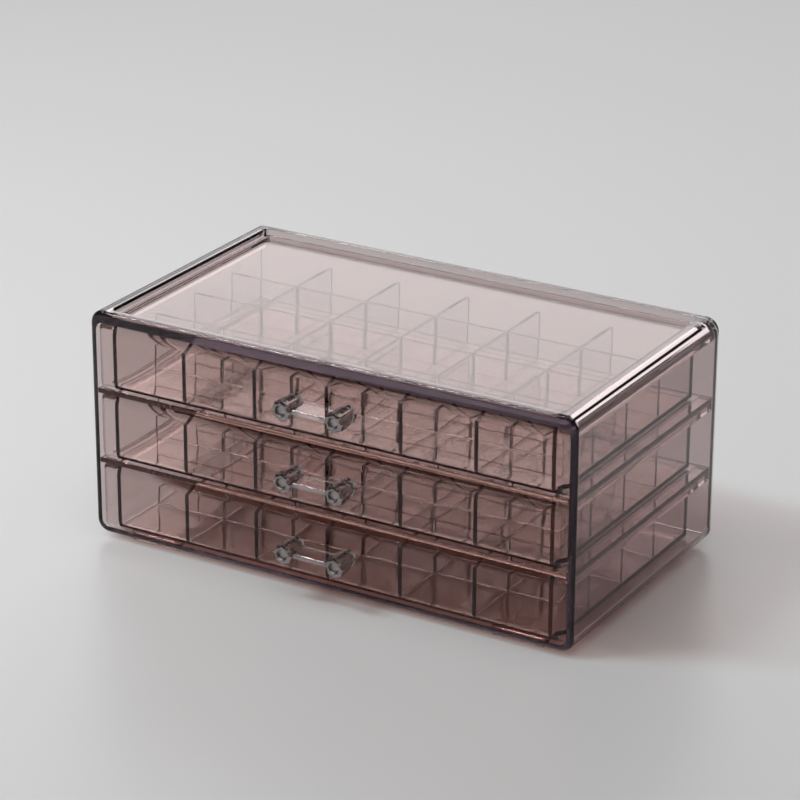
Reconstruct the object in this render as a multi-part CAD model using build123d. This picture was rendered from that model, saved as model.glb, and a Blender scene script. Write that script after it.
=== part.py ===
from build123d import *
import os

# A clear tinted jewellery organizer with three drawers, in millimetres.
# X runs to the right, Y to the back and Z up. The origin lies on the table,
# under the middle of the whole object, its handles included.

# Case
case_width = 235.0
case_depth = 130.0
side_wall = 3.0
bottom_panel = 3.0
top_panel = 2.2
back_panel = 3.0
shelf_thickness = 2.4
bay_height = 30.1
outer_corner_radius = 6.0
inner_corner_radius = 2.5
back_edge_radius = 1.5

# Sunk field in the top, where the feet of a second case would nest
recess_depth = 3.2
rim_side = 8.3
rim_front = 4.0
recess_corner_radius = 3.0

# Feet
foot_length = 27.0
foot_width = 6.0
foot_height = 2.5
foot_inset_x = 14.0
foot_inset_y = 4.6

# Guide rails under the shelves and under the top
rail_height = 3.8

# Drawer front
front_thickness = 3.2
front_bevel_width = 3.8
front_bevel_depth = 2.2

# Drawer tray, with the gaps that it leaves in its bay
tray_side_gap = 7.2
tray_top_gap = 0.5
tray_back_gap = 5.0
tray_wall = 2.0
tray_floor = 1.6

# Strips that divide the tray, and how far they stay below its walls
strip_thickness = 2.0
strip_drop = 5.6
column_count = 6
row_count = 4

# Handle
knob_spacing = 25.4
knob_length = 13.5
knob_radius = 4.7
knob_tail_radius = 4.3
knob_face_radius = 3.5
knob_groove_radius = 3.3
knob_foot_radius = 3.0
knob_nose_length = 0.9
knob_groove_start = 3.0
knob_groove_end = 4.2
knob_step = 0.2
knob_foot_length = 0.8
knob_sides = 8
bar_thickness = 2.3
bar_depth = 9.4
bar_setback = 1.3
bar_edge_radius = 0.4
handle_rise = 0.6

# Clearances
slide_clearance = 0.3
front_clearance = 0.3
rail_clearance = 0.5
lap_clearance = 0.1
strip_end_clearance = 0.2

drawer_names = ("lower", "middle", "upper")
drawer_count = len(drawer_names)

# Case, worked out
opening_width = case_width - 2 * side_wall
stack_height = drawer_count * bay_height + (drawer_count - 1) * shelf_thickness
case_height = bottom_panel + stack_height + top_panel + recess_depth
case_front = knob_length - (case_depth + knob_length) / 2
case_back = case_front + case_depth
case_middle = (case_front + case_back) / 2
case_bottom = foot_height
case_top = case_bottom + case_height
opening_bottom = case_bottom + bottom_panel
opening_top = opening_bottom + stack_height
opening_middle = (opening_bottom + opening_top) / 2
inner_back = case_back - back_panel
bay_pitch = bay_height + shelf_thickness

# Drawer, worked out
front_width = opening_width - 2 * front_clearance
front_height = bay_height - slide_clearance - front_clearance
front_corner_radius = inner_corner_radius - front_clearance
tray_width = opening_width - 2 * tray_side_gap
tray_wall_height = bay_height - slide_clearance - tray_top_gap
tray_start = case_front + front_thickness
tray_end = inner_back - tray_back_gap
tray_depth = tray_end - tray_start
tray_inside_width = tray_width - 2 * tray_wall
tray_inside_depth = tray_depth - tray_wall
strip_height = tray_wall_height - strip_drop - tray_floor
column_pitch = (tray_inside_width + strip_thickness) / column_count
row_pitch = (tray_inside_depth + strip_thickness) / row_count
rail_start = case_front + front_thickness + slide_clearance
rail_width = tray_side_gap - rail_clearance


def bay_floor(level):
    """Height of the surface that a drawer at this level slides on."""
    return opening_bottom + level * bay_pitch


def drawer_base(level):
    """Height of the underside of a drawer at this level."""
    return bay_floor(level) + slide_clearance


def block(x_low, x_high, y_low, y_high, z_low, z_high):
    """A box between two opposite corners."""
    size = (x_high - x_low, y_high - y_low, z_high - z_low)
    centre = ((x_low + x_high) / 2, (y_low + y_high) / 2, (z_low + z_high) / 2)
    return Pos(*centre) * Box(*size)


def plate_facing_front(width, height, radius, y_low, y_high, z_middle):
    """A plate with rounded corners that stands across the depth."""
    plane = Plane(origin=(0, y_high, z_middle), x_dir=(1, 0, 0), z_dir=(0, -1, 0))
    return extrude(plane * RectangleRounded(width, height, radius), y_high - y_low)


def make_case_shell():
    """Sides, bottom and top in one sleeve, open at the front and the back."""
    middle = case_bottom + case_height / 2
    sleeve = plate_facing_front(
        case_width, case_height, outer_corner_radius, case_front, case_back, middle
    )
    back_edges = sleeve.faces().sort_by(Axis.Y)[-1].edges()
    sleeve = fillet(back_edges, back_edge_radius)
    sleeve -= plate_facing_front(
        opening_width, stack_height, inner_corner_radius, case_front, case_back, opening_middle
    )
    recess_plan = RectangleRounded(
        case_width - 2 * rim_side, case_depth - 2 * rim_front, recess_corner_radius
    )
    recess = extrude(Pos(0, case_middle, case_top - recess_depth) * recess_plan, recess_depth)
    return sleeve - recess


def make_back_panel():
    """Pane that closes the sleeve at the back."""
    return plate_facing_front(
        opening_width, stack_height, inner_corner_radius, inner_back, case_back, opening_middle
    )


def make_shelf(level):
    """Shelf under the drawer at this level."""
    top = bay_floor(level)
    half = opening_width / 2
    return block(-half, half, case_front, inner_back, top - shelf_thickness, top)


def make_rail(level, side):
    """Guide rail in an upper corner of a bay; side is -1 on the left, 1 on the right."""
    wall_x = side * opening_width / 2
    free_x = wall_x - side * rail_width
    top = bay_floor(level) + bay_height
    rail = block(
        min(wall_x, free_x), max(wall_x, free_x), rail_start, inner_back, top - rail_height, top
    )
    if level == drawer_count - 1:
        corner_edge = rail.edges().filter_by(Axis.Y).sort_by(
            lambda edge: side * edge.center().X + edge.center().Z
        )[-1]
        rail = fillet(corner_edge, inner_corner_radius)
    return rail


def make_foot(side, end):
    """Pad under one corner; side is -1 on the left, end is -1 at the front."""
    x = side * (case_width / 2 - foot_inset_x - foot_length / 2)
    y = case_middle + end * (case_depth / 2 - foot_inset_y - foot_width / 2)
    return extrude(Pos(x, y, 0) * SlotOverall(foot_length, foot_width), foot_height)


def make_front(level):
    """Drawer front, bevelled all round its outer face."""
    base = drawer_base(level)
    middle = base + front_height / 2
    edge_y = case_front + front_bevel_depth
    slab = block(
        -front_width / 2, front_width / 2, edge_y, tray_start, base, base + front_height
    )
    wide = Plane(origin=(0, edge_y, middle), x_dir=(1, 0, 0), z_dir=(0, -1, 0))
    narrow = Plane(origin=(0, case_front, middle), x_dir=(1, 0, 0), z_dir=(0, -1, 0))
    bevel = loft(
        [
            wide * Rectangle(front_width, front_height),
            narrow * Rectangle(
                front_width - 2 * front_bevel_width, front_height - 2 * front_bevel_width
            ),
        ],
        ruled=True,
    )
    outline = plate_facing_front(
        front_width, front_height, front_corner_radius, case_front, tray_start, middle
    )
    return (slab + bevel) & outline


def make_tray(level):
    """Floor, two sides and a back; the drawer front closes the fourth side."""
    base = drawer_base(level)
    half = tray_width / 2
    inside = tray_inside_width / 2
    body = block(-half, half, tray_start, tray_end, base, base + tray_wall_height)
    hollow = block(
        -inside, inside, tray_start, tray_end - tray_wall, base + tray_floor, base + tray_wall_height
    )
    return body - hollow


def column_x(index):
    """Middle of the long strip with this number, counted from the left."""
    return -tray_inside_width / 2 - strip_thickness / 2 + index * column_pitch


def row_y(index):
    """Middle of the cross strip with this number, counted from the front."""
    return tray_start - strip_thickness / 2 + index * row_pitch


def make_long_strip(level, index):
    """Strip from front to back, slotted from above at each cross strip."""
    floor = drawer_base(level) + tray_floor
    half = strip_thickness / 2
    slot = strip_thickness / 2 + lap_clearance
    x = column_x(index)
    top = floor + strip_height
    y_low = tray_start + strip_end_clearance
    y_high = tray_end - tray_wall - strip_end_clearance
    strip = block(x - half, x + half, y_low, y_high, floor, top)
    for row in range(1, row_count):
        y = row_y(row)
        strip -= block(x - half, x + half, y - slot, y + slot, floor + strip_height / 2, top)
    return strip


def make_cross_strip(level, index):
    """Strip from side to side, slotted from below at each long strip."""
    floor = drawer_base(level) + tray_floor
    half = strip_thickness / 2
    slot = strip_thickness / 2 + lap_clearance
    y = row_y(index)
    reach = tray_inside_width / 2 - strip_end_clearance
    lap_height = floor + strip_height / 2 + lap_clearance
    strip = block(-reach, reach, y - half, y + half, floor, floor + strip_height)
    for column in range(1, column_count):
        x = column_x(column)
        strip -= block(x - slot, x + slot, y - half, y + half, floor, lap_height)
    return strip


def handle_height(level):
    """Height of the handle's middle line."""
    return drawer_base(level) + front_height / 2 + handle_rise


def make_knob(level, side):
    """Faceted knob with a groove, from its foot on the drawer front to its nose."""
    stations = (
        (0.0, knob_foot_radius),
        (knob_foot_length, knob_foot_radius),
        (knob_foot_length + knob_step, knob_tail_radius),
        (knob_groove_start, knob_tail_radius),
        (knob_groove_start + knob_step, knob_groove_radius),
        (knob_groove_end - knob_step, knob_groove_radius),
        (knob_groove_end, knob_tail_radius),
        (knob_length - knob_nose_length, knob_radius),
        (knob_length, knob_face_radius),
    )
    x = side * knob_spacing / 2
    z = handle_height(level)
    sections = []
    for distance, radius in stations:
        plane = Plane(origin=(x, case_front - distance, z), x_dir=(1, 0, 0), z_dir=(0, -1, 0))
        octagon = RegularPolygon(radius, knob_sides, rotation=180 / knob_sides)
        sections.append(plane * octagon)
    return loft(sections, ruled=True)


def make_handle_bar(level):
    """Flat strip between the two knobs, cut to their facets."""
    z = handle_height(level)
    half = knob_spacing / 2
    y_low = case_front - knob_length + bar_setback
    bar = block(
        -half, half, y_low, y_low + bar_depth, z - bar_thickness / 2, z + bar_thickness / 2
    )
    bar = fillet(bar.edges().filter_by(Axis.X), bar_edge_radius)
    return bar - make_knob(level, -1) - make_knob(level, 1)


def collect_case():
    """Every piece of the case, by node name."""
    pieces = {"case_shell": make_case_shell(), "back_panel": make_back_panel()}
    for level in range(1, drawer_count):
        pieces[f"{drawer_names[level]}_shelf"] = make_shelf(level)
    for level, name in enumerate(drawer_names):
        pieces[f"{name}_rail_left"] = make_rail(level, -1)
        pieces[f"{name}_rail_right"] = make_rail(level, 1)
    for end, end_name in ((-1, "front"), (1, "back")):
        pieces[f"foot_{end_name}_left"] = make_foot(-1, end)
        pieces[f"foot_{end_name}_right"] = make_foot(1, end)
    return pieces


def collect_drawer(level):
    """Every piece of one drawer, by node name."""
    name = drawer_names[level]
    pieces = {f"{name}_front": make_front(level), f"{name}_tray": make_tray(level)}
    for column in range(1, column_count):
        pieces[f"{name}_long_strip_{column}"] = make_long_strip(level, column)
    for row in range(1, row_count):
        pieces[f"{name}_cross_strip_{row}"] = make_cross_strip(level, row)
    pieces[f"{name}_handle_bar"] = make_handle_bar(level)
    pieces[f"{name}_knob_left"] = make_knob(level, -1)
    pieces[f"{name}_knob_right"] = make_knob(level, 1)
    return pieces


parts = collect_case()
for drawer_level in range(drawer_count):
    parts.update(collect_drawer(drawer_level))

os.makedirs("parts", exist_ok=True)
for node, shape in parts.items():
    export_step(shape, f"parts/{node}.step")
print(len(parts), "pieces; case height", case_height, "mm; front of the case at y =", case_front)
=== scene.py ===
"""Looks of a clear tinted jewellery organizer with three drawers, built around its frame.

Every piece is modelled at the place that the frame gives it. The sleeve fills its solid, and the
pieces inside it and the handles are a hair smaller than theirs, so that pieces that touch keep a
thin line of air between them, as glued and stacked plastic does.
"""
import logging
import math
from collections.abc import Callable
from dataclasses import dataclass, field
from enum import Enum

import bmesh
import bpy
from mathutils import Matrix, Quaternion, Vector


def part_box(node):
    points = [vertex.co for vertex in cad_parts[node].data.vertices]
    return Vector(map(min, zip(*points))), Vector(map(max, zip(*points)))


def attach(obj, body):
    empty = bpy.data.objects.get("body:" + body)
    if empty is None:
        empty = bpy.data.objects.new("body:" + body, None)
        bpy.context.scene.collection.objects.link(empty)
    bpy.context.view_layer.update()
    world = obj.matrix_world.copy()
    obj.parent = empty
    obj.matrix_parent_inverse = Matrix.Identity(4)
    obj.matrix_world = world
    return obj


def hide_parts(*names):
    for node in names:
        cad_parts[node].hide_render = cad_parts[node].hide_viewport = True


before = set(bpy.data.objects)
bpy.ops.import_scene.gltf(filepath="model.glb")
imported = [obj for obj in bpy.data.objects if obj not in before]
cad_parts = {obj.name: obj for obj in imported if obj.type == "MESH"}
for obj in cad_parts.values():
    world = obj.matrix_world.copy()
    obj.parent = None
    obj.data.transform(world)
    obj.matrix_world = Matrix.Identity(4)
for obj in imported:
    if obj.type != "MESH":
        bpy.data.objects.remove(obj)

LOG = logging.getLogger("organizer")
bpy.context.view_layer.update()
MM = 0.001
AIR = 0.06 * MM
HAIR = 0.1 * MM
PAST = 1.0 * MM
STRAIGHT = 0.99
DRAWERS = ("lower", "middle", "upper")

Piece = bpy.types.Object
Look = bpy.types.Material
Element = bmesh.types.BMVert | bmesh.types.BMEdge | bmesh.types.BMFace
EdgeTest = Callable[[Vector, Vector], bool]


class Side(Enum):
    """Left or right, as seen from the front."""

    LEFT = -1
    RIGHT = 1


class Axis(Enum):
    """The three directions of the frame."""

    X = 0
    Y = 1
    Z = 2


class Kind(Enum):
    """What is picked in edit mode."""

    VERT = "VERT"
    EDGE = "EDGE"
    FACE = "FACE"


class Shaping(Enum):
    """What a second shape does to a piece."""

    CUT_AWAY = "DIFFERENCE"
    KEEP_INSIDE = "INTERSECT"


class Strip(Enum):
    """The two sorts of dividing strips."""

    LONG = "long_strip"
    CROSS = "cross_strip"


class Slot(Enum):
    """Names of material slots."""

    CASE = "case_clear_tint"
    FEET = "feet_clear_tint"
    DRAWER = "drawer_clear_tint"
    STRIP = "strip_clear_tint"
    HANDLE = "handle_clear_tint"


# Bench work


def alone(piece: Piece) -> None:
    """Selects one piece and nothing else.

    Args:
        piece: The piece to work on.
    """
    bpy.ops.object.select_all(action="DESELECT")
    piece.select_set(True)
    bpy.context.view_layer.objects.active = piece


def pick(piece: Piece, kind: Kind, test: Callable[[Element], bool]) -> None:
    """Opens a piece in edit mode with only those parts selected that pass a test.

    Args:
        piece: The piece to work on.
        kind: Whether corners, edges or faces are picked.
        test: Takes one of them and says whether it is picked.
    """
    alone(piece)
    bpy.ops.object.mode_set(mode="EDIT")
    bpy.ops.mesh.select_mode(type=kind.value)
    bpy.ops.mesh.select_all(action="DESELECT")
    mesh = bmesh.from_edit_mesh(piece.data)
    elements = {Kind.VERT: mesh.verts, Kind.EDGE: mesh.edges, Kind.FACE: mesh.faces}[kind]
    elements.index_update()
    for element in elements:
        element.select_set(test(element))
    bmesh.update_edit_mesh(piece.data)


def solid_box(node: str) -> tuple[Vector, Vector]:
    """Corners of a node's box, drawn in by the line of air round it.

    Args:
        node: Name of the node in the frame.

    Returns:
        The lowest and the highest corner.
    """
    low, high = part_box(node)
    air = Vector((AIR, AIR, AIR))
    return low + air, high - air


def add_block(name: str, low: Vector, high: Vector) -> Piece:
    """Adds a block between two corners.

    Args:
        name: Name of the new piece.
        low: Its lowest corner.
        high: Its highest corner.

    Returns:
        The block, with its place in its mesh.
    """
    bpy.ops.object.select_all(action="DESELECT")
    bpy.ops.mesh.primitive_cube_add(size=1.0, location=(low + high) / 2)
    piece = bpy.context.active_object
    piece.name = name
    piece.scale = high - low
    bpy.ops.object.transform_apply(location=True, rotation=True, scale=True)
    return piece


def along(axis: Axis) -> EdgeTest:
    """A test for edges that run along one axis."""
    return lambda middle, direction: abs(direction[axis.value]) > STRAIGHT


def round_edges(piece: Piece, width: float, segments: int, test: EdgeTest) -> None:
    """Rounds the edges that pass a test.

    Args:
        piece: The piece to work on.
        width: Radius of the rounding, in metres.
        segments: Number of faces across the rounding.
        test: Takes an edge's middle and direction and says whether it is rounded.
    """
    def passes(edge: bmesh.types.BMEdge) -> bool:
        """Asks the test about one edge."""
        start, end = (corner.co for corner in edge.verts)
        return test((start + end) / 2, (end - start).normalized())

    pick(piece, Kind.EDGE, passes)
    bpy.ops.mesh.bevel(offset=width, segments=segments, affect="EDGES", clamp_overlap=True)
    bpy.ops.object.mode_set(mode="OBJECT")


def shape_with(piece: Piece, tool: Piece, shaping: Shaping) -> None:
    """Cuts or limits a piece by another one, which is used up.

    Args:
        piece: The piece to work on.
        tool: The shape to cut away or to keep.
        shaping: Which of the two is done.
    """
    modifier = piece.modifiers.new("shaped", "BOOLEAN")
    modifier.operation = shaping.value
    modifier.solver = "EXACT"
    modifier.object = tool
    alone(piece)
    bpy.ops.object.modifier_apply(modifier=modifier.name)
    bpy.data.objects.remove(tool)


def ease_edges(piece: Piece, width: float, segments: int = 2, sharp_angle: float = 32.0) -> None:
    """Rounds every sharp edge a little, as moulding leaves it, with flat faces kept flat.

    Args:
        piece: The piece to work on.
        width: Radius of the rounding, in metres.
        segments: Number of faces across the rounding.
        sharp_angle: Least angle, in degrees, at which an edge is rounded.
    """
    alone(piece)
    bpy.ops.object.shade_smooth()
    bevel = piece.modifiers.new("eased", "BEVEL")
    bevel.width = width
    bevel.segments = segments
    bevel.limit_method = "ANGLE"
    bevel.angle_limit = math.radians(sharp_angle)
    bevel.miter_outer = "MITER_ARC"
    bevel.harden_normals = False
    weighted = piece.modifiers.new("flat_faces", "WEIGHTED_NORMAL")
    weighted.weight = 100
    weighted.keep_sharp = False
    for modifier in (bevel, weighted):
        bpy.ops.object.modifier_apply(modifier=modifier.name)


def copy_piece(source: Piece, name: str, offset: Vector) -> Piece:
    """Copies a piece with a mesh of its own.

    Args:
        source: The piece to copy.
        name: Name of the copy.
        offset: How far the copy lies from the source.

    Returns:
        The copy.
    """
    piece = source.copy()
    piece.data = source.data.copy()
    piece.name = name
    piece.data.name = name
    piece.data.transform(Matrix.Translation(offset))
    bpy.context.scene.collection.objects.link(piece)
    return piece


def dress(piece: Piece, look: Look) -> None:
    """Gives a piece its one material."""
    piece.data.materials.clear()
    piece.data.materials.append(look)


# Finishes


def build_moulded_waves() -> bpy.types.ShaderNodeTree:
    """Builds the group for the slow waves that moulding leaves in a clear face.

    Returns:
        A group that gives a height from the waves per metre and a share of fine ripple.
    """
    finer = 4.0
    group = bpy.data.node_groups.new("moulded_waves", "ShaderNodeTree")
    sockets = group.interface
    sockets.new_socket("Waves per metre", in_out="INPUT", socket_type="NodeSocketFloat")
    sockets.new_socket("Ripple", in_out="INPUT", socket_type="NodeSocketFloat")
    sockets.new_socket("Height", in_out="OUTPUT", socket_type="NodeSocketFloat")
    nodes, links = group.nodes, group.links
    values_in = nodes.new("NodeGroupInput")
    height_out = nodes.new("NodeGroupOutput")
    place = nodes.new("ShaderNodeTexCoord")
    slow = nodes.new("ShaderNodeTexNoise")
    slow.inputs["Detail"].default_value = 1.0
    fine = nodes.new("ShaderNodeTexNoise")
    fine.inputs["Detail"].default_value = 0.0
    faster = nodes.new("ShaderNodeMath")
    faster.operation = "MULTIPLY"
    faster.inputs[1].default_value = finer
    both = nodes.new("ShaderNodeMath")
    both.operation = "MULTIPLY_ADD"
    links.new(place.outputs["Object"], slow.inputs["Vector"])
    links.new(place.outputs["Object"], fine.inputs["Vector"])
    links.new(values_in.outputs["Waves per metre"], slow.inputs["Scale"])
    links.new(values_in.outputs["Waves per metre"], faster.inputs[0])
    links.new(faster.outputs[0], fine.inputs["Scale"])
    links.new(fine.outputs[0], both.inputs[0])
    links.new(values_in.outputs["Ripple"], both.inputs[1])
    links.new(slow.outputs[0], both.inputs[2])
    links.new(both.outputs[0], height_out.inputs["Height"])
    return group


@dataclass(frozen=True)
class ClearFinish:
    """A polished clear plastic with a tint in its body.

    The body takes a share of each colour off for every metre of plastic, so that thin walls stay
    light and edges seen end on go dark. The surface tint adds what the thin walls need.

    Attributes:
        name: Name of the material.
        surface_tint: What one wall lets through of red, green and blue.
        taken_per_metre: How fast the body takes each colour away.
        face_on_gloss: Share of the mirrored light that is kept where the face is seen square on.
        sparkle: Weight of a second, brighter gloss.
        sparkle_bending: How strongly that gloss mirrors, as an index of refraction.
        bending: Index of refraction of the plastic.
        roughness: Roughness of the polish.
        waves_per_metre: How close the moulded waves lie.
        ripple: Share of fine ripple in them.
        wave_height: Height of the waves, in metres.
        shade_tint: What one face lets through into the shade behind it.
    """

    name: str
    surface_tint: tuple[float, float, float] = (1.0, 1.0, 1.0)
    taken_per_metre: tuple[float, float, float] = (22.0, 42.0, 48.0)
    face_on_gloss: float = 0.2
    sparkle: float = 0.0
    sparkle_bending: float = 2.6
    bending: float = 1.49
    roughness: float = 0.0
    waves_per_metre: float = 80.0
    ripple: float = 0.05
    wave_height: float = 0.00012
    shade_tint: tuple[float, float, float] = (0.91, 0.862, 0.848)

    def make(self, waves: bpy.types.ShaderNodeTree) -> Look:
        """Builds the material.

        Args:
            waves: The group that gives the moulded surface's height.

        Returns:
            The new material, which lets tinted light through to what lies in its shade.
        """
        material = bpy.data.materials.new(self.name)
        material.use_nodes = True
        nodes, links = material.node_tree.nodes, material.node_tree.links
        nodes.clear()
        plastic = self.make_plastic(material.node_tree, waves)
        shade = nodes.new("ShaderNodeBsdfTransparent")
        shade.inputs["Color"].default_value = (*self.shade_tint, 1.0)
        path = nodes.new("ShaderNodeLightPath")
        surface = nodes.new("ShaderNodeMixShader")
        links.new(path.outputs["Is Shadow Ray"], surface.inputs[0])
        links.new(plastic.outputs[0], surface.inputs[1])
        links.new(shade.outputs[0], surface.inputs[2])
        most = max(self.taken_per_metre)
        left = (1.0 - taken / most for taken in self.taken_per_metre)
        inside = nodes.new("ShaderNodeVolumeAbsorption")
        inside.inputs["Density"].default_value = most
        inside.inputs["Color"].default_value = (*left, 1.0)
        output = nodes.new("ShaderNodeOutputMaterial")
        links.new(surface.outputs[0], output.inputs["Surface"])
        links.new(inside.outputs[0], output.inputs["Volume"])
        return material

    def make_plastic(
        self, tree: bpy.types.ShaderNodeTree, waves: bpy.types.ShaderNodeTree
    ) -> bpy.types.ShaderNode:
        """Adds the polished surface that bends and mirrors light.

        Args:
            tree: The material's nodes.
            waves: The group that gives the moulded surface's height.

        Returns:
            The surface's shader node.
        """
        nodes, links = tree.nodes, tree.links
        plastic = nodes.new("ShaderNodeBsdfPrincipled")
        plastic.inputs["Base Color"].default_value = (*self.surface_tint, 1.0)
        plastic.inputs["Roughness"].default_value = self.roughness
        gloss = self.face_on_gloss
        plastic.inputs["Specular Tint"].default_value = (gloss, gloss, gloss, 1.0)
        plastic.inputs["IOR"].default_value = self.bending
        plastic.inputs["Transmission Weight"].default_value = 1.0
        plastic.inputs["Coat Weight"].default_value = self.sparkle
        plastic.inputs["Coat Roughness"].default_value = self.roughness
        plastic.inputs["Coat IOR"].default_value = self.sparkle_bending
        height = nodes.new("ShaderNodeGroup")
        height.node_tree = waves
        height.inputs["Waves per metre"].default_value = self.waves_per_metre
        height.inputs["Ripple"].default_value = self.ripple
        bump = nodes.new("ShaderNodeBump")
        bump.inputs["Strength"].default_value = 1.0
        bump.inputs["Distance"].default_value = self.wave_height
        links.new(height.outputs["Height"], bump.inputs["Height"])
        links.new(bump.outputs["Normal"], plastic.inputs["Normal"])
        return plastic


SHELL_FINISH = ClearFinish(
    "shell_clear", surface_tint=(0.76, 0.672, 0.667), taken_per_metre=(18.0, 20.0, 18.0),
    face_on_gloss=0.6, wave_height=0.0
)
SHELF_FINISH = ClearFinish(
    "shelf_clear", surface_tint=(0.90, 0.86, 0.86), taken_per_metre=(8.0, 11.0, 12.0),
    wave_height=0.0
)
FRONT_FINISH = ClearFinish("front_clear", surface_tint=(0.93, 0.9, 0.895), face_on_gloss=0.35)
TRAY_FINISH = ClearFinish(
    "tray_clear", surface_tint=(0.965, 0.945, 0.94), taken_per_metre=(26.0, 42.0, 48.0)
)
STRIP_FINISH = ClearFinish("strip_clear", taken_per_metre=(34.0, 42.0, 44.0), wave_height=0.0)
HANDLE_FINISH = ClearFinish(
    "handle_clear", taken_per_metre=(70.0, 84.0, 86.0), face_on_gloss=1.0, sparkle=1.0,
    bending=1.6, wave_height=0.0
)
FEET_FINISH = ClearFinish("feet_clear", wave_height=0.0)


# What moves together


@dataclass(kw_only=True)
class Group:
    """Pieces that ride on one body of the frame."""

    body: str
    pieces: list[Piece] = field(default_factory=list)

    def keep(self, piece: Piece, node: str, look: Look, slot: Slot) -> None:
        """Dresses a finished piece and lets it stand for its node.

        Args:
            piece: The finished piece.
            node: The node that it stands for.
            look: Its material.
            slot: A material slot name, which is not used.
        """
        dress(piece, look)
        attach(piece, self.body)
        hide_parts(node)
        self.pieces.append(piece)


# The case


@dataclass(kw_only=True)
class Case(Group):
    """Sleeve, back, shelves, guide rails and feet, with sizes in metres."""

    body: str = "case"
    outer_radius: float = 6.0 * MM
    inner_radius: float = 3.5 * MM
    rim_side: float = 8.3 * MM
    rim_front: float = 4.0 * MM
    recess_depth: float = 3.2 * MM
    recess_radius: float = 3.0 * MM
    outer_edge: float = 2.0 * MM
    fine_edge: float = 0.35 * MM
    outer_steps: int = 10
    edge_steps: int = 4
    inner_steps: int = 6
    rail_steps: int = 5
    foot_steps: int = 6
    foot_roundness: float = 0.98

    def build(self, shell_look: Look, shelf_look: Look, feet_look: Look) -> None:
        """Builds every piece of the case and dresses it.

        Args:
            shell_look: Material of the sleeve and its back.
            shelf_look: Material of the shelves and rails.
            feet_look: Material of the feet.
        """
        self.keep(self.make_shell(), "case_shell", shell_look, Slot.CASE)
        self.keep(self.make_back(), "back_panel", shell_look, Slot.CASE)
        for name in DRAWERS[1:]:
            node = f"{name}_shelf"
            self.keep(self.make_shelf(node), node, shelf_look, Slot.CASE)
        for name in DRAWERS:
            for side in Side:
                node = f"{name}_rail_{side.name.lower()}"
                self.keep(self.make_rail(node, side), node, shelf_look, Slot.CASE)
        for end in ("front", "back"):
            for side in Side:
                node = f"foot_{end}_{side.name.lower()}"
                self.keep(self.make_foot(node), node, feet_look, Slot.FEET)

    def make_shell(self) -> Piece:
        """Makes the sleeve, with rounded long corners and a sunk field in its top.

        Returns:
            The sleeve.
        """
        low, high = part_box("case_shell")
        shell = add_block("organizer_case_shell", low, high)
        round_edges(shell, self.outer_radius, self.outer_steps, along(Axis.Y))
        round_edges(
            shell, self.outer_edge, self.edge_steps,
            lambda middle, direction: min(abs(middle.y - low.y), abs(middle.y - high.y)) < HAIR,
        )
        self.cut_tunnel(shell, low, high)
        self.cut_recess(shell, low, high)
        ease_edges(shell, self.fine_edge)
        return shell

    def cut_tunnel(self, shell: Piece, low: Vector, high: Vector) -> None:
        """Opens the sleeve from front to back, as wide and high as its back panel.

        Args:
            shell: The sleeve.
            low: The lowest corner of its box.
            high: The highest corner of its box.
        """
        inner_low, inner_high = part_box("back_panel")
        tunnel = add_block(
            "tunnel",
            Vector((inner_low.x, low.y - 2 * PAST, inner_low.z)),
            Vector((inner_high.x, high.y + 2 * PAST, inner_high.z)),
        )
        round_edges(tunnel, self.inner_radius, self.inner_steps, along(Axis.Y))
        shape_with(shell, tunnel, Shaping.CUT_AWAY)

    def cut_recess(self, shell: Piece, low: Vector, high: Vector) -> None:
        """Sinks the field in the top, inside the rim.

        Args:
            shell: The sleeve.
            low: The lowest corner of its box.
            high: The highest corner of its box.
        """
        bottom = high.z - self.recess_depth
        recess = add_block(
            "recess",
            Vector((low.x + self.rim_side, low.y + self.rim_front, bottom)),
            Vector((high.x - self.rim_side, high.y - self.rim_front, high.z + 2 * PAST)),
        )
        round_edges(recess, self.recess_radius, self.inner_steps, along(Axis.Z))
        shape_with(shell, recess, Shaping.CUT_AWAY)

    def make_back(self) -> Piece:
        """Makes the pane that closes the sleeve at the back.

        Returns:
            The pane.
        """
        pane = add_block("organizer_back_panel", *solid_box("back_panel"))
        round_edges(pane, self.inner_radius, self.inner_steps, along(Axis.Y))
        ease_edges(pane, self.fine_edge)
        return pane

    def make_shelf(self, node: str) -> Piece:
        """Makes a flat shelf between the side walls.

        Args:
            node: The shelf's node.

        Returns:
            The shelf.
        """
        shelf = add_block(f"organizer_{node}", *solid_box(node))
        ease_edges(shelf, self.fine_edge)
        return shelf

    def make_rail(self, node: str, side: Side) -> Piece:
        """Makes a guide rail, rounded where it sits in the sleeve's own corner.

        Args:
            node: The rail's node.
            side: The side wall that carries it.

        Returns:
            The rail.
        """
        low, high = solid_box(node)
        rail = add_block(f"organizer_{node}", low, high)
        if node.startswith(DRAWERS[-1]):
            wall = low.x if side is Side.LEFT else high.x
            round_edges(
                rail, self.inner_radius, self.rail_steps,
                lambda middle, direction: abs(middle.x - wall) < AIR
                and abs(middle.z - high.z) < AIR,
            )
        ease_edges(rail, self.fine_edge)
        return rail

    def make_foot(self, node: str) -> Piece:
        """Makes the pad with rounded ends under one corner.

        Args:
            node: The foot's node.

        Returns:
            The foot.
        """
        low, high = solid_box(node)
        low.z = 0.0
        foot = add_block(f"organizer_{node}", low, high)
        radius = (high.y - low.y) / 2 * self.foot_roundness
        round_edges(foot, radius, self.foot_steps, along(Axis.Z))
        ease_edges(foot, self.fine_edge)
        return foot


# A drawer


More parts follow.
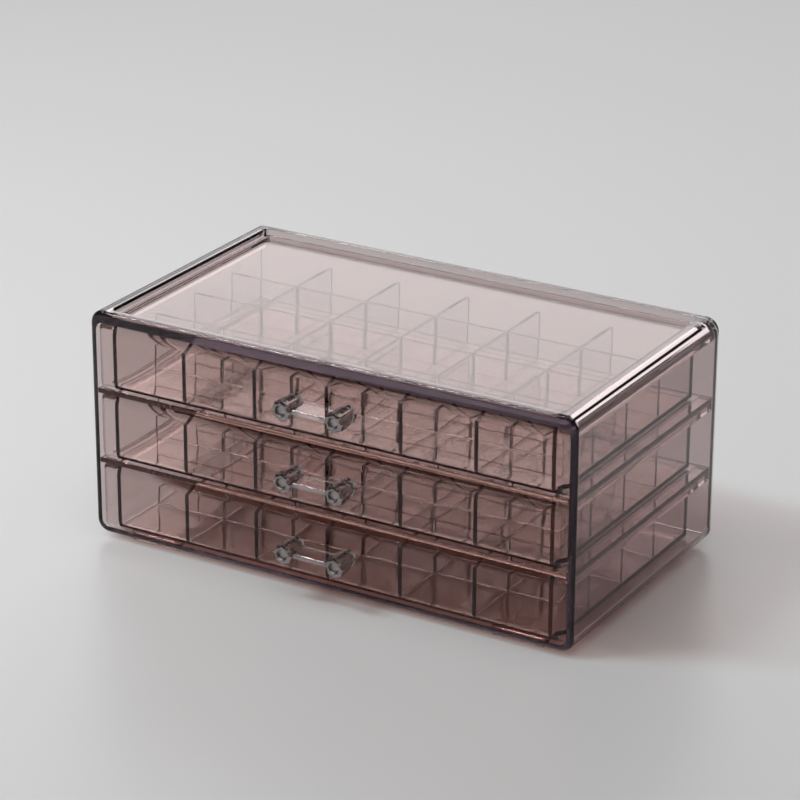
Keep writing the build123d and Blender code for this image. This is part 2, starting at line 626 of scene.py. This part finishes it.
@dataclass(kw_only=True)
class Drawer(Group):
    """Bevelled front, tray, dividing strips and handle, with sizes in metres.

    A knob's stations are distances from its seat, each with the radius there, in millimetres.
    """

    name: str
    bevel_width: float = 3.8 * MM
    bevel_depth: float = 2.2 * MM
    corner_radius: float = 2.9 * MM
    tray_wall: float = 2.0 * MM
    tray_floor: float = 1.6 * MM
    lap_air: float = 0.1 * MM
    fine_edge: float = 0.25 * MM
    strip_edge: float = 0.06 * MM
    strip_foot: float = 0.5 * MM
    corner_steps: int = 5
    strip_steps: int = 3
    columns: int = 6
    rows: int = 4
    knob_ridges: int = 8
    knob_flute: float = 0.85
    knob_edge: float = 0.12 * MM
    knob_stations: tuple[tuple[float, float], ...] = (
        (0.0, 3.0), (0.8, 3.0), (1.1, 4.3), (3.0, 4.3), (3.3, 3.3), (3.9, 3.3),
        (4.2, 4.3), (12.6, 4.7), (13.4, 3.6), (13.4, 2.9), (12.0, 2.0),
    )
    bar_edge: float = 0.4 * MM
    bar_steps: int = 3

    def build(
        self, front_look: Look, tray_look: Look, strip_look: Look, handle_look: Look
    ) -> None:
        """Builds every piece of the drawer and dresses it.

        Args:
            front_look: Material of the front.
            tray_look: Material of the tray.
            strip_look: Material of the dividing strips.
            handle_look: Material of the handle.
        """
        self.keep(self.make_front(), self.node("front"), front_look, Slot.DRAWER)
        self.keep(self.make_tray(), self.node("tray"), tray_look, Slot.DRAWER)
        self.make_strips(Strip.LONG, self.columns, strip_look)
        self.make_strips(Strip.CROSS, self.rows, strip_look)
        self.keep(self.make_bar(), self.node("handle_bar"), handle_look, Slot.HANDLE)
        for side in Side:
            node = self.node(f"knob_{side.name.lower()}")
            self.keep(self.make_knob(node), node, handle_look, Slot.HANDLE)

    def node(self, part: str) -> str:
        """Name of one of this drawer's nodes."""
        return f"{self.name}_{part}"

    def make_front(self) -> Piece:
        """Makes the drawer front, with a wide bevel round its face.

        Returns:
            The front.
        """
        low, high = solid_box(self.node("front"))
        slab_low = low + Vector((0, self.bevel_depth, 0))
        front = add_block(f"organizer_{self.node('front')}", slab_low, high)
        pick(front, Kind.FACE, lambda face: face.normal.y < -STRAIGHT)
        bpy.ops.mesh.inset(thickness=self.bevel_width, depth=self.bevel_depth)
        bpy.ops.object.mode_set(mode="OBJECT")
        past = Vector((0, PAST, 0))
        outline = add_block("outline", low - past, high + past)
        round_edges(outline, self.corner_radius, self.corner_steps, along(Axis.Y))
        shape_with(front, outline, Shaping.KEEP_INSIDE)
        ease_edges(front, self.fine_edge)
        return front

    def make_tray(self) -> Piece:
        """Makes the tray's floor, sides and back in one.

        Returns:
            The tray.
        """
        low, high = solid_box(self.node("tray"))
        tray = add_block(f"organizer_{self.node('tray')}", low, high)
        wall = self.tray_wall - 2 * AIR
        floor = self.tray_floor - 2 * AIR
        hollow = add_block(
            "hollow",
            Vector((low.x + wall, low.y - PAST, low.z + floor)),
            Vector((high.x - wall, high.y - wall, high.z + PAST)),
        )
        shape_with(tray, hollow, Shaping.CUT_AWAY)
        ease_edges(tray, self.fine_edge)
        return tray

    def make_strips(self, strip: Strip, cells: int, look: Look) -> None:
        """Makes the first strip of one sort and copies it to the others' places.

        Args:
            strip: Which sort of strip.
            cells: Number of compartments between the tray's walls.
            look: Material of the strips.
        """
        first_node = self.node(f"{strip.value}_1")
        first = self.make_strip(strip, first_node)
        first_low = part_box(first_node)[0]
        for index in range(2, cells):
            node = self.node(f"{strip.value}_{index}")
            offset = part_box(node)[0] - first_low
            self.keep(copy_piece(first, f"organizer_{node}", offset), node, look, Slot.STRIP)
        self.keep(first, first_node, look, Slot.STRIP)

    def make_strip(self, strip: Strip, node: str) -> Piece:
        """Makes a strip with half-height slots where it crosses the others.

        Args:
            strip: LONG, which is slotted from above, or CROSS, which is slotted from below.
            node: The strip's node.

        Returns:
            The strip.
        """
        low, high = solid_box(node)
        piece = add_block(f"organizer_{node}", low, high)
        is_long = strip is Strip.LONG
        run = Axis.Y.value if is_long else Axis.X.value
        other, cells = (Strip.CROSS, self.rows) if is_long else (Strip.LONG, self.columns)
        round_edges(
            piece, self.strip_foot, self.strip_steps,
            lambda middle, direction: middle.z < low.z + HAIR and abs(direction[run]) > STRAIGHT,
        )
        past = Vector((PAST, PAST, PAST))
        middle = (low.z + high.z) / 2
        for index in range(1, cells):
            cross_low, cross_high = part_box(self.node(f"{other.value}_{index}"))
            slot_low, slot_high = low - past, high + past
            slot_low[run] = cross_low[run] - self.lap_air
            slot_high[run] = cross_high[run] + self.lap_air
            if is_long:
                slot_low.z = middle
            else:
                slot_high.z = middle + self.lap_air
            shape_with(piece, add_block("slot", slot_low, slot_high), Shaping.CUT_AWAY)
        ease_edges(piece, self.strip_edge)
        return piece

    def make_knob(self, node: str) -> Piece:
        """Makes a fluted knob, drawn out ring by ring from its foot, with a dished end.

        Args:
            node: The knob's node.

        Returns:
            The knob.
        """
        low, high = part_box(node)
        centre = (low + high) / 2
        seat = high.y - AIR
        radius = self.knob_stations[0][1] * MM
        bpy.ops.object.select_all(action="DESELECT")
        bpy.ops.mesh.primitive_circle_add(
            vertices=2 * self.knob_ridges, radius=radius, fill_type="NGON",
            location=(centre.x, seat, centre.z), rotation=(math.pi / 2, 0, 0),
        )
        knob = bpy.context.active_object
        knob.name = f"organizer_{node}"
        bpy.ops.object.transform_apply(location=True, rotation=True, scale=True)
        pick(knob, Kind.VERT, lambda corner: corner.index % 2 == 1)
        flute = self.knob_flute
        bpy.ops.transform.resize(
            value=(flute, 1, flute), center_override=(centre.x, seat, centre.z)
        )
        bpy.ops.mesh.select_mode(type="FACE")
        bpy.ops.mesh.select_all(action="SELECT")
        self.draw_out(radius, Vector((centre.x, seat, centre.z)))
        bpy.ops.mesh.select_all(action="SELECT")
        bpy.ops.mesh.normals_make_consistent(inside=False)
        bpy.ops.object.mode_set(mode="OBJECT")
        ease_edges(knob, self.knob_edge)
        return knob

    def draw_out(self, radius: float, seat: Vector) -> None:
        """Extrudes the selected foot of a knob through all its stations.

        Args:
            radius: Radius of the foot.
            seat: Middle of the foot, where it meets the front.
        """
        reached = 0.0
        for distance, width in self.knob_stations[1:]:
            step = distance * MM - reached
            bpy.ops.mesh.extrude_region_move(TRANSFORM_OT_translate={"value": (0, -step, 0)})
            reached = distance * MM
            if not math.isclose(width * MM, radius):
                share = width * MM / radius
                bpy.ops.transform.resize(
                    value=(share, 1, share), center_override=(seat.x, seat.y - reached, seat.z)
                )
                radius = width * MM

    def make_bar(self) -> Piece:
        """Makes the flat bar between the knobs.

        Returns:
            The bar.
        """
        low, high = solid_box(self.node("handle_bar"))
        low.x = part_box(self.node("knob_left"))[1].x + AIR
        high.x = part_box(self.node("knob_right"))[0].x - AIR
        bar = add_block(f"organizer_{self.node('handle_bar')}", low, high)
        ease_edges(bar, self.bar_edge, self.bar_steps)
        return bar


# The studio


@dataclass(frozen=True)
class SoftLamp:
    """A soft rectangular lamp that faces the object, in metres, watts and degrees."""

    name: str
    place: tuple[float, float, float]
    width: float
    height: float
    power: float
    turn: float = 0.0

    def hang(self, aim: Vector) -> None:
        """Adds the lamp to the scene.

        Args:
            aim: The point that it faces.
        """
        data = bpy.data.lights.new(self.name, "AREA")
        data.shape = "RECTANGLE"
        data.size = self.width
        data.size_y = self.height
        data.energy = self.power
        lamp = bpy.data.objects.new(self.name, data)
        lamp.location = self.place
        facing = (aim - Vector(self.place)).to_track_quat("-Z", "Y")
        spin = Quaternion((0, 0, 1), math.radians(self.turn))
        lamp.rotation_euler = (facing @ spin).to_euler()
        lamp.visible_camera = False
        bpy.context.scene.collection.objects.link(lamp)


@dataclass
class Studio:
    """Pale floor, soft lamps and the camera, in metres and degrees.

    The focal length and the film's width are in millimetres.
    """

    azimuth: float = 30.607
    elevation: float = 22.445
    roll: float = 0.206
    distance: float = 1.4074
    aim: tuple[float, float, float] = (-0.003917, 0.010037, 0.064167)
    focal_length: float = 146.888
    film_width: float = 36.0
    floor_size: float = 14.0
    floor_drop: float = 0.2 * MM
    floor_grey: float = 0.80
    floor_roughness: float = 0.35
    dark_side: tuple[float, float, float] = (0.25, -0.50, 0.83)
    dimming_starts: float = -0.6
    dimming_ends: float = 0.15
    bright_wall: float = 0.62
    dark_wall: float = 0.06
    ceiling_power: float = 0.72
    ceiling_width: float = 50.0
    ceiling_path: tuple[float, float, float] = (-0.15, 0.20, -1.0)
    lamps: tuple[SoftLamp, ...] = (
        SoftLamp("behind", (-0.95, 1.60, 0.85), 1.8, 0.9, 7.5),
        SoftLamp("above", (-0.61, -0.49, 1.10), 0.5, 0.14, 7.6, 44.6),
    )
    bounces: int = 64
    clear_layers: int = 24

    def build(self) -> None:
        """Sets up the floor, world, lamps, camera and light paths."""
        self.make_floor()
        self.make_world()
        for lamp in self.lamps:
            lamp.hang(Vector(self.aim))
        self.make_ceiling()
        self.make_camera()
        scene = bpy.context.scene
        scene.view_settings.view_transform = "Standard"
        scene.cycles.max_bounces = self.bounces
        scene.cycles.transmission_bounces = self.bounces
        scene.cycles.glossy_bounces = self.bounces
        scene.cycles.transparent_max_bounces = self.clear_layers
        scene.cycles.caustics_reflective = False
        scene.cycles.caustics_refractive = False
        scene.cycles.use_denoising = True

    def make_floor(self) -> None:
        """Adds the plain pale floor."""
        bpy.ops.object.select_all(action="DESELECT")
        bpy.ops.mesh.primitive_plane_add(size=self.floor_size, location=(0, 0, -self.floor_drop))
        floor = bpy.context.active_object
        floor.name = "studio_floor"
        bpy.ops.object.transform_apply(location=True, rotation=True, scale=True)
        look = bpy.data.materials.new("pale_floor")
        look.use_nodes = True
        paint = look.node_tree.nodes["Principled BSDF"]
        grey = self.floor_grey
        paint.inputs["Base Color"].default_value = (grey, grey, grey, 1.0)
        paint.inputs["Roughness"].default_value = self.floor_roughness
        dress(floor, look)

    def make_world(self) -> None:
        """Makes walls that are pale behind the object and darker behind the camera and above."""
        world = bpy.data.worlds.new("studio_world")
        bpy.context.scene.world = world
        world.use_nodes = True
        nodes, links = world.node_tree.nodes, world.node_tree.links
        nodes.clear()
        place = nodes.new("ShaderNodeTexCoord")
        lean = nodes.new("ShaderNodeVectorMath")
        lean.operation = "DOT_PRODUCT"
        lean.inputs[1].default_value = self.dark_side
        dimming = nodes.new("ShaderNodeMapRange")
        dimming.interpolation_type = "SMOOTHSTEP"
        dimming.inputs["From Min"].default_value = self.dimming_starts
        dimming.inputs["From Max"].default_value = self.dimming_ends
        dimming.inputs["To Min"].default_value = self.bright_wall
        dimming.inputs["To Max"].default_value = self.dark_wall
        walls = nodes.new("ShaderNodeBackground")
        output = nodes.new("ShaderNodeOutputWorld")
        links.new(place.outputs["Generated"], lean.inputs[0])
        links.new(lean.outputs["Value"], dimming.inputs["Value"])
        links.new(dimming.outputs["Result"], walls.inputs["Color"])
        links.new(walls.outputs[0], output.inputs["Surface"])

    def make_ceiling(self) -> None:
        """Adds the wide soft light from the ceiling, which falls evenly on the whole floor."""
        data = bpy.data.lights.new("overhead", "SUN")
        data.energy = self.ceiling_power
        data.angle = math.radians(self.ceiling_width)
        lamp = bpy.data.objects.new("overhead", data)
        lamp.rotation_euler = Vector(self.ceiling_path).to_track_quat("-Z", "Y").to_euler()
        bpy.context.scene.collection.objects.link(lamp)

    def make_camera(self) -> None:
        """Adds the camera at the photograph's angle."""
        azimuth, elevation = math.radians(self.azimuth), math.radians(self.elevation)
        back = Vector((
            math.sin(azimuth) * math.cos(elevation),
            -math.cos(azimuth) * math.cos(elevation),
            math.sin(elevation),
        ))
        data = bpy.data.cameras.new("camera")
        data.sensor_width = self.film_width
        data.lens = self.focal_length
        camera = bpy.data.objects.new("camera", data)
        turn = (-back).to_track_quat("-Z", "Y").to_matrix().to_4x4()
        spin = Matrix.Rotation(math.radians(self.roll), 4, "Z")
        place = Matrix.Translation(Vector(self.aim) + back * self.distance)
        camera.matrix_world = place @ turn @ spin
        bpy.context.scene.collection.objects.link(camera)
        bpy.context.scene.camera = camera


def main() -> None:
    """Builds the organizer piece by piece and sets up the studio."""
    logging.basicConfig(level=logging.INFO, format="%(message)s")
    waves = build_moulded_waves()
    case = Case()
    case.build(SHELL_FINISH.make(waves), SHELF_FINISH.make(waves), FEET_FINISH.make(waves))
    drawer_looks = [
        finish.make(waves) for finish in (FRONT_FINISH, TRAY_FINISH, STRIP_FINISH, HANDLE_FINISH)
    ]
    drawers = [Drawer(name=name, body=f"{name}_drawer") for name in DRAWERS]
    for drawer in drawers:
        drawer.build(*drawer_looks)
    for group in (case, *drawers):
        for piece in group.pieces:
            LOG.info("%s: %d faces", piece.name, len(piece.data.polygons))
    Studio().build()


if __name__ == "__main__":
    main()
